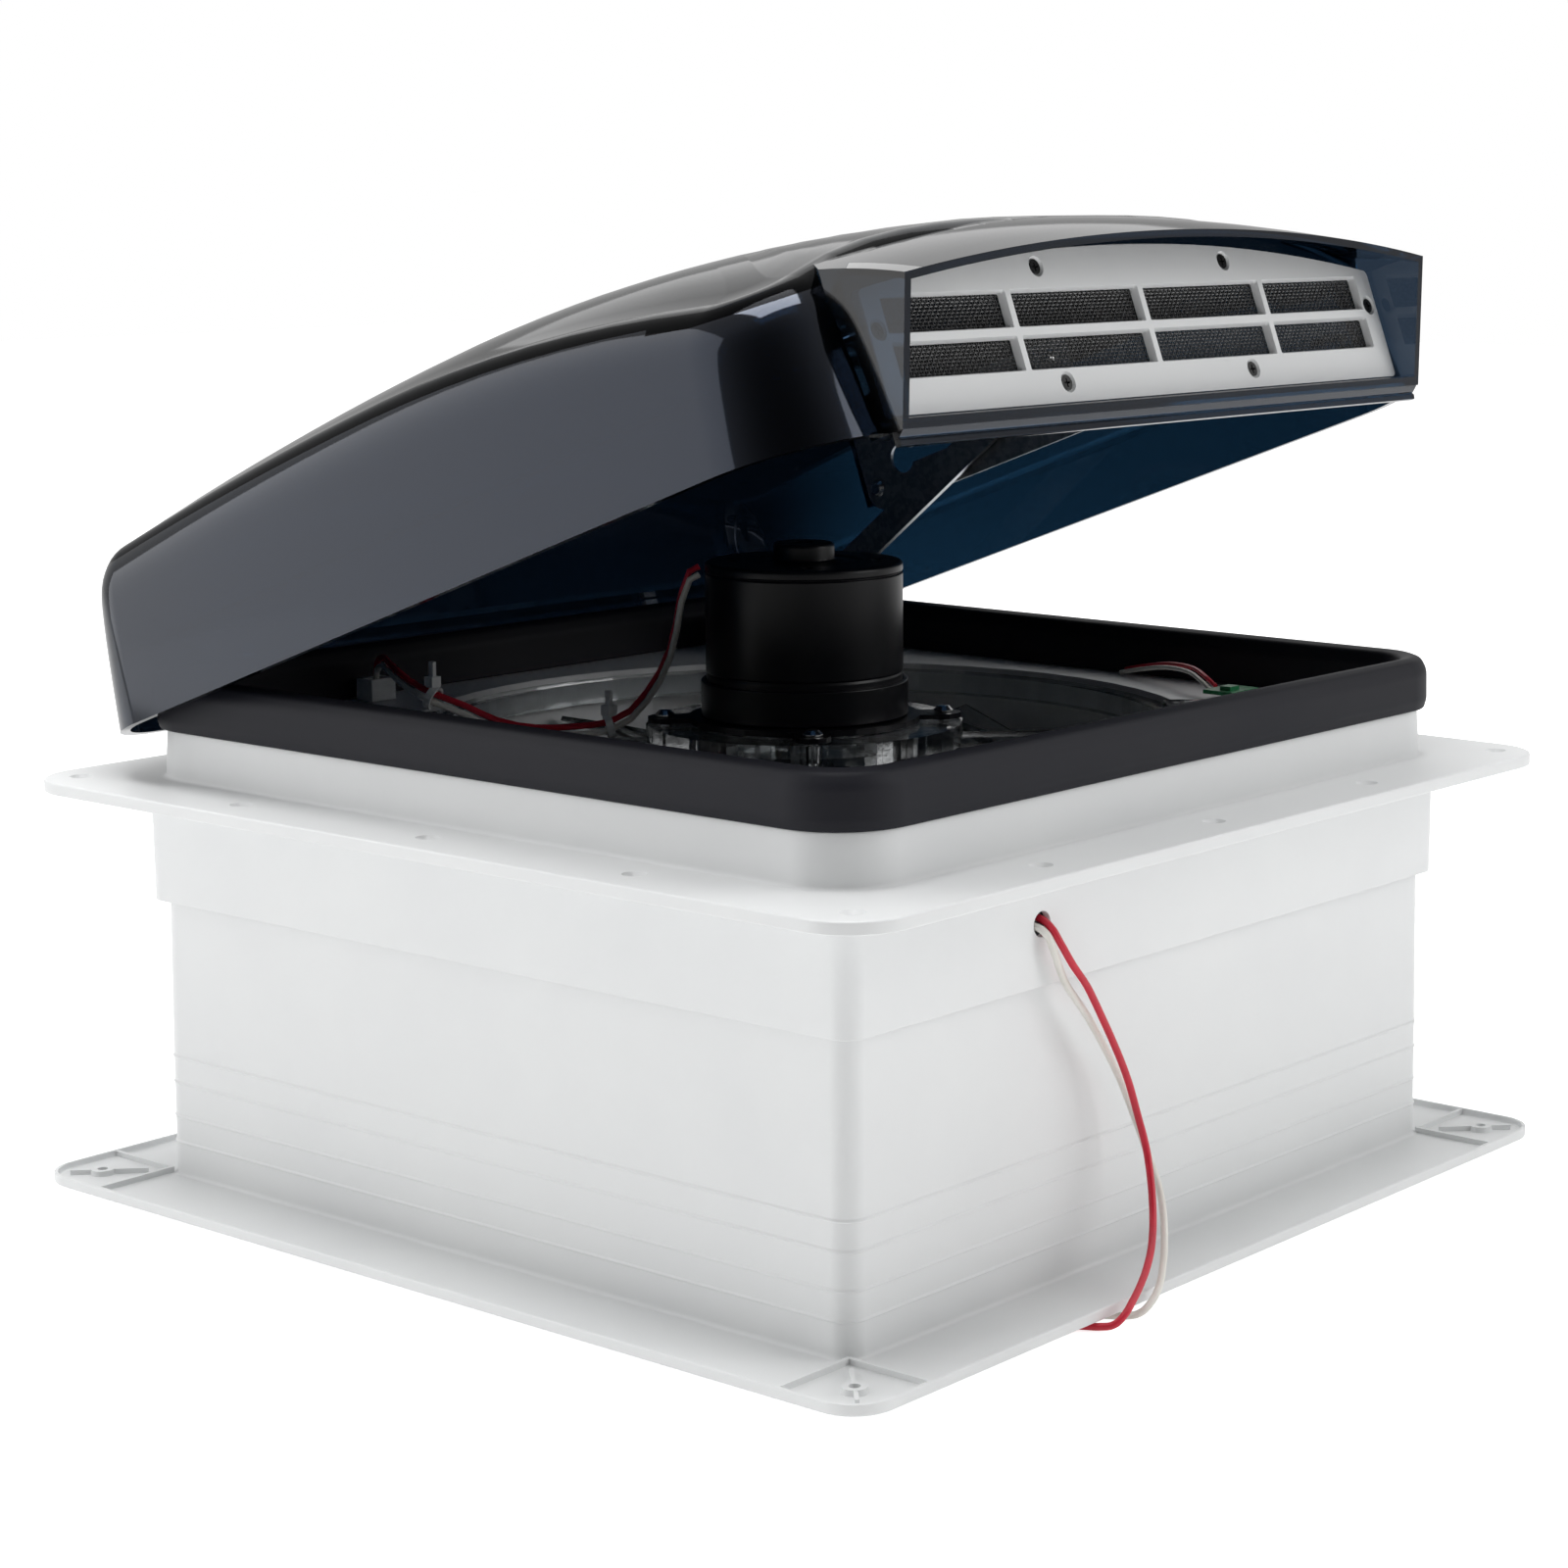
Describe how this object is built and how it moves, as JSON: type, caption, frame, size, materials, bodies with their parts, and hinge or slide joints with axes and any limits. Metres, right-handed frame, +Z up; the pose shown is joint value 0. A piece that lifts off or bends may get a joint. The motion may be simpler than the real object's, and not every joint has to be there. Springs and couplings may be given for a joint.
{
  "type": "roof vent fan",
  "caption": "Square roof vent fan: flanged neck and ceiling trim, axial fan under a hinged smoked rain lid with a front grille hood, raised by a geared arm and knob.",
  "frame": {"origin": "on the ground under the middle of the base, at the level of the trim's room face", "axes": "+Z up through the roof, +Y to the lid hinge, -Y to the grille hood, +X to the lifter side"},
  "size_m": [0.4136, 0.4221, 0.3666],
  "materials": {
    "white_plastic": "fine satin moulding",
    "smoke_acrylic": "polished, deep smoke tint with a blue transmission",
    "clear_polycarbonate": "clear, polished",
    "seal_rubber": "matt",
    "black_motor_paint": "satin black",
    "zinc_steel": "zinc plated, speckled",
    "screw_chrome": "bright",
    "black_screw": "black oxide",
    "screen_mesh": "woven black mesh",
    "winding_copper": "enamelled copper",
    "ferrite": "sintered ferrite",
    "brass": "turned",
    "circuit_board": "solder mask",
    "red_wire": "soft PVC",
    "white_wire": "soft PVC",
    "natural_nylon": "translucent natural nylon",
    "grey_plastic": "satin"
  },
  "bodies": {
    "base": {"trim_frame": "white_plastic", "interior_screen_frame": "white_plastic", "interior_screen_mesh": "screen_mesh", "roof_base": "white_plastic", "lid_seal": "seal_rubber", "fan_deck": "white_plastic", "motor_bracket": "clear_polycarbonate", "motor_can": "black_motor_paint", "motor_band": "black_motor_paint", "motor_flange": "black_motor_paint", "motor_magnets": "ferrite", "brush_plate": "grey_plastic", "upper_bearing": "zinc_steel", "lower_bearing": "zinc_steel", "motor_screw_1": "screw_chrome", "motor_screw_2": "screw_chrome", "motor_screw_3": "screw_chrome", "motor_screw_4": "screw_chrome", "hinge_base_left": "zinc_steel", "hinge_base_right": "zinc_steel", "hinge_pin_left": "zinc_steel", "hinge_pin_right": "zinc_steel", "lift_bracket": "zinc_steel", "lift_pivot_pin": "zinc_steel", "switch_housing": "white_plastic", "sensor_board": "circuit_board", "lead_connector": "natural_nylon", "motor_lead_tie": "natural_nylon", "connector_lead_tie": "natural_nylon", "motor_lead_red": "red_wire", "motor_lead_white": "white_wire", "sensor_lead_red": "red_wire", "sensor_lead_white": "white_wire", "feed_lead_red": "red_wire", "feed_lead_white": "white_wire"},
    "lid": {"lid_shell": "smoke_acrylic", "grille_panel": "white_plastic", "grille_mesh": "screen_mesh", "grille_screw_1": "black_screw", "grille_screw_2": "black_screw", "grille_screw_3": "black_screw", "grille_screw_4": "black_screw", "grille_screw_5": "black_screw", "grille_screw_6": "black_screw", "lid_hinge_left": "zinc_steel", "lid_hinge_right": "zinc_steel", "lift_track": "zinc_steel", "track_screw_1": "screw_chrome", "track_screw_2": "screw_chrome"},
    "lift_arm": {"lift_arm": "zinc_steel", "lift_slide_pin": "zinc_steel"},
    "lift_knob": {"lift_worm": "brass", "lift_knob": "grey_plastic"},
    "rotor": {"fan_blades": "clear_polycarbonate", "hub_nut": "brass", "motor_shaft": "zinc_steel", "armature": "winding_copper"},
    "switch": {"fan_switch": "grey_plastic"}
  },
  "joints": [
    {"name": "lid_hinge", "type": "hinge", "parent": "base", "child": "lid", "pos_m": [0, 0.1828, 0.176], "axis": [-1, 0, 0], "range_deg": [-20, 0]},
    {"name": "lift_arm_pivot", "type": "hinge", "parent": "base", "child": "lift_arm", "pos_m": [0.12275, 0.1275, 0.1835], "axis": [-1, 0, 0], "range_deg": [-28, 0]},
    {"name": "knob_turn", "type": "hinge", "parent": "base", "child": "lift_knob", "pos_m": [0.12275, 0.1416, 0.078], "axis": [0, 0, 1], "range_deg": [-1100, 0]},
    {"name": "fan_spin", "type": "hinge", "parent": "base", "child": "rotor", "pos_m": [0, 0, 0.153], "axis": [0, 0, 1], "continuous": true},
    {"name": "switch_rock", "type": "hinge", "parent": "base", "child": "switch", "pos_m": [-0.13, -0.146, 0.0785], "axis": [1, 0, 0], "range_deg": [-8, 8]}
  ],
  "couplings": [
    {"joint": "lift_arm_pivot", "follows": "lid_hinge", "ratio": 1.3595},
    {"joint": "knob_turn", "follows": "lid_hinge", "ratio": 54.38}
  ]
}
